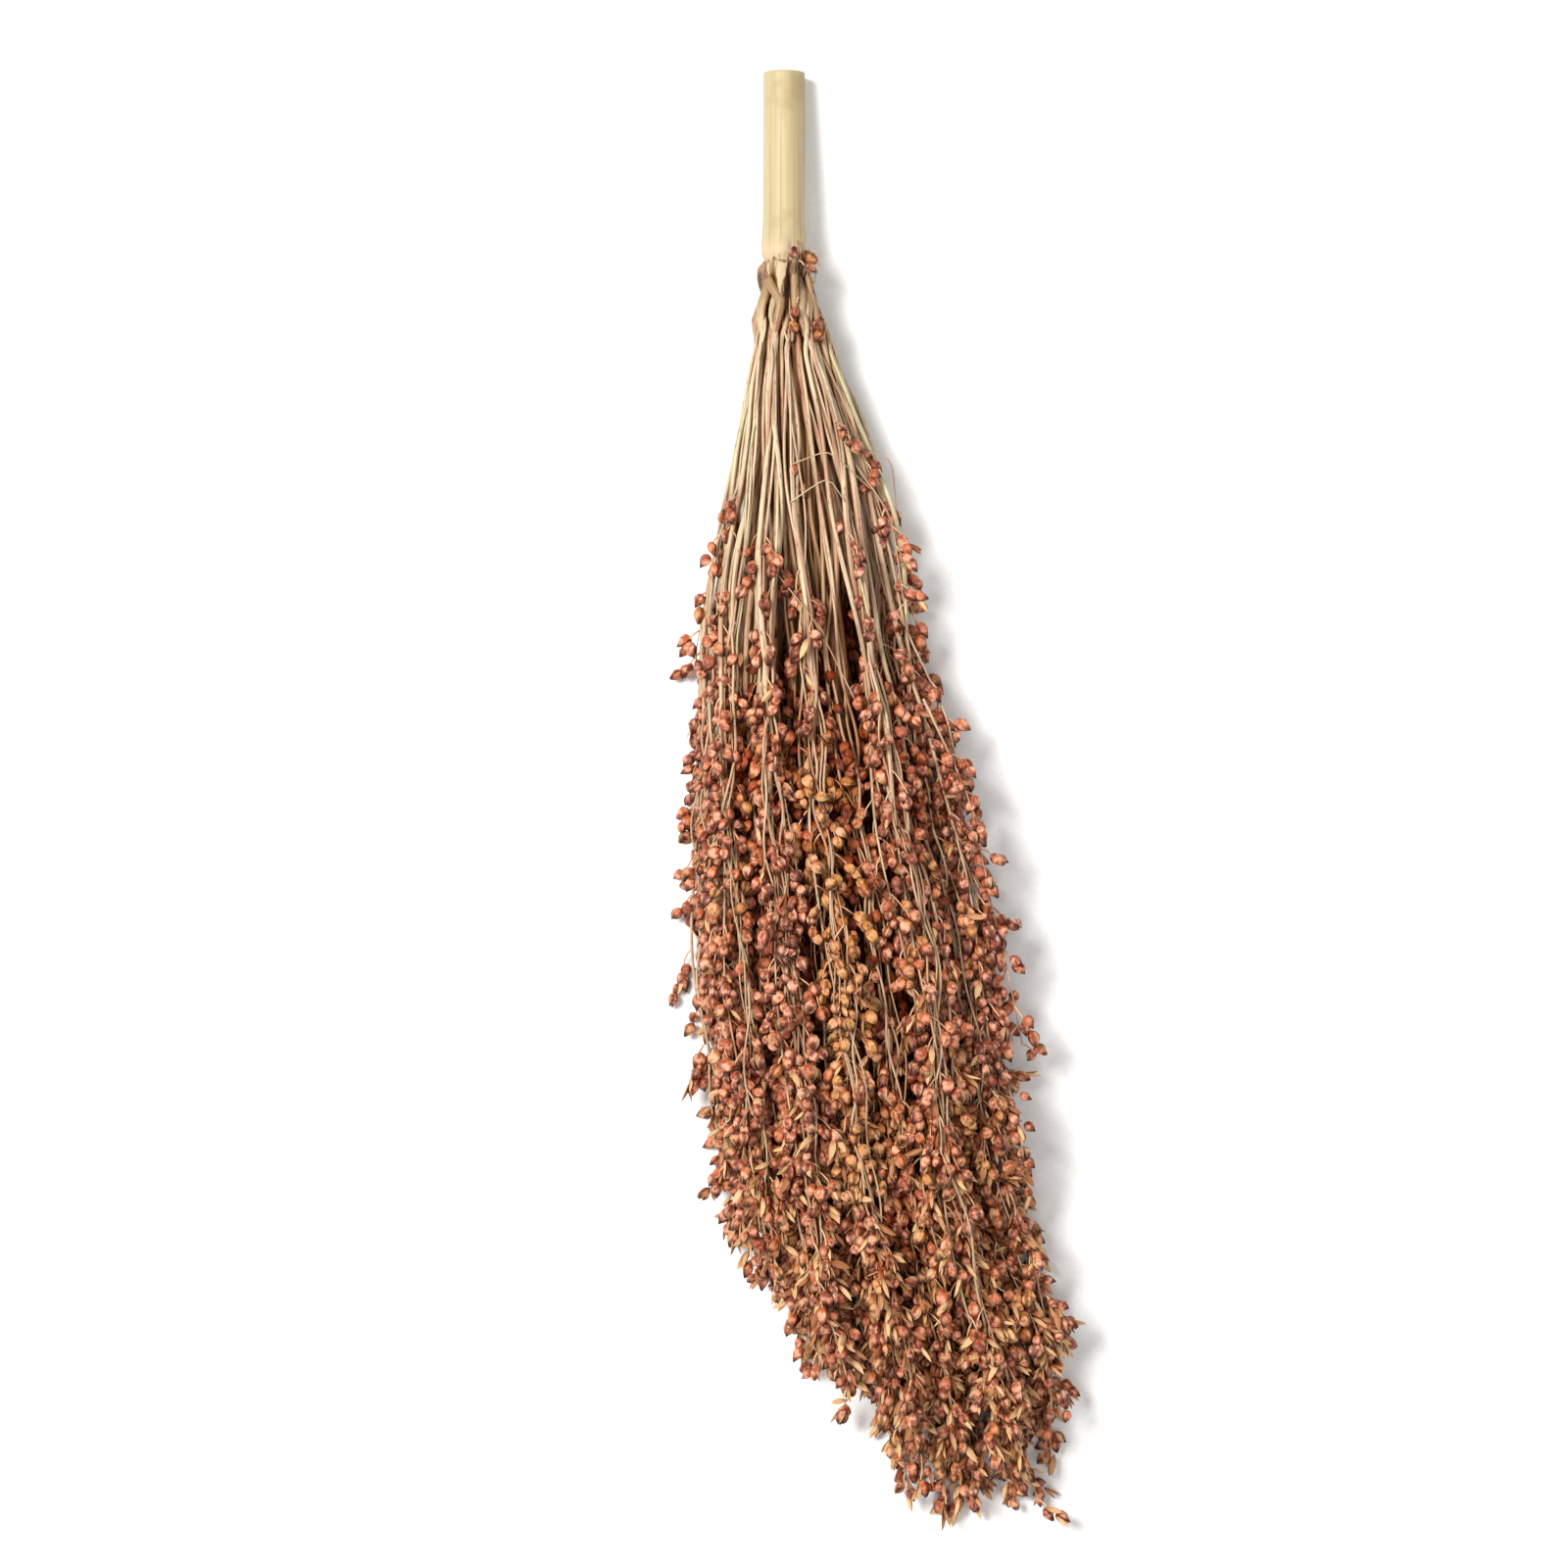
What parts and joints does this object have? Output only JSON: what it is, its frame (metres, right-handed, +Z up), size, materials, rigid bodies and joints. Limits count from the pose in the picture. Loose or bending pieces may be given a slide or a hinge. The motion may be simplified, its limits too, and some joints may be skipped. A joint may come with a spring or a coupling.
{
  "type": "sorghum seed head",
  "caption": "Dried sorghum seed head lying on its side: a short cut stalk, long stiff branches fanning from its collar, and a drooping brush of red-brown seeds.",
  "frame": {"origin": "on the surface that the head lies on, under the middle of its box", "axes": "+Y along the stalk towards its cut end, +Z up from the surface, +X to the side that the seeds droop to"},
  "size_m": [0.1196, 0.4578, 0.0555],
  "materials": {
    "stalk": "dry cane skin, satin, with fine lengthwise ribs",
    "branch": "dry straw, satin, flecked with red-brown",
    "seeds": "polished seed husks from brick red and ochre to dark maroon, with straw-coloured empty husks between"
  },
  "bodies": {
    "root": {"stalk": "stalk", "branch_01": "branch", "seed_spray_01": "seeds", "branch_02": "branch", "seed_spray_02": "seeds", "branch_03": "branch", "seed_spray_03": "seeds", "branch_04": "branch", "seed_spray_04": "seeds", "branch_05": "branch", "seed_spray_05": "seeds", "branch_06": "branch", "seed_spray_06": "seeds", "branch_07": "branch", "seed_spray_07": "seeds", "branch_08": "branch", "seed_spray_08": "seeds", "branch_09": "branch", "seed_spray_09": "seeds", "branch_10": "branch", "seed_spray_10": "seeds", "branch_11": "branch", "seed_spray_11": "seeds", "branch_12": "branch", "seed_spray_12": "seeds", "branch_13": "branch", "seed_spray_13": "seeds", "branch_14": "branch", "seed_spray_14": "seeds", "branch_15": "branch", "seed_spray_15": "seeds", "branch_16": "branch", "seed_spray_16": "seeds", "branch_17": "branch", "seed_spray_17": "seeds", "branch_18": "branch", "seed_spray_18": "seeds", "branch_19": "branch", "seed_spray_19": "seeds", "branch_20": "branch", "seed_spray_20": "seeds", "branch_21": "branch", "seed_spray_21": "seeds", "branch_22": "branch", "seed_spray_22": "seeds", "branch_23": "branch", "seed_spray_23": "seeds", "branch_24": "branch", "seed_spray_24": "seeds", "branch_25": "branch", "seed_spray_25": "seeds", "branch_26": "branch", "seed_spray_26": "seeds", "branch_27": "branch", "seed_spray_27": "seeds", "branch_28": "branch", "seed_spray_28": "seeds"}
  },
  "joints": []
}
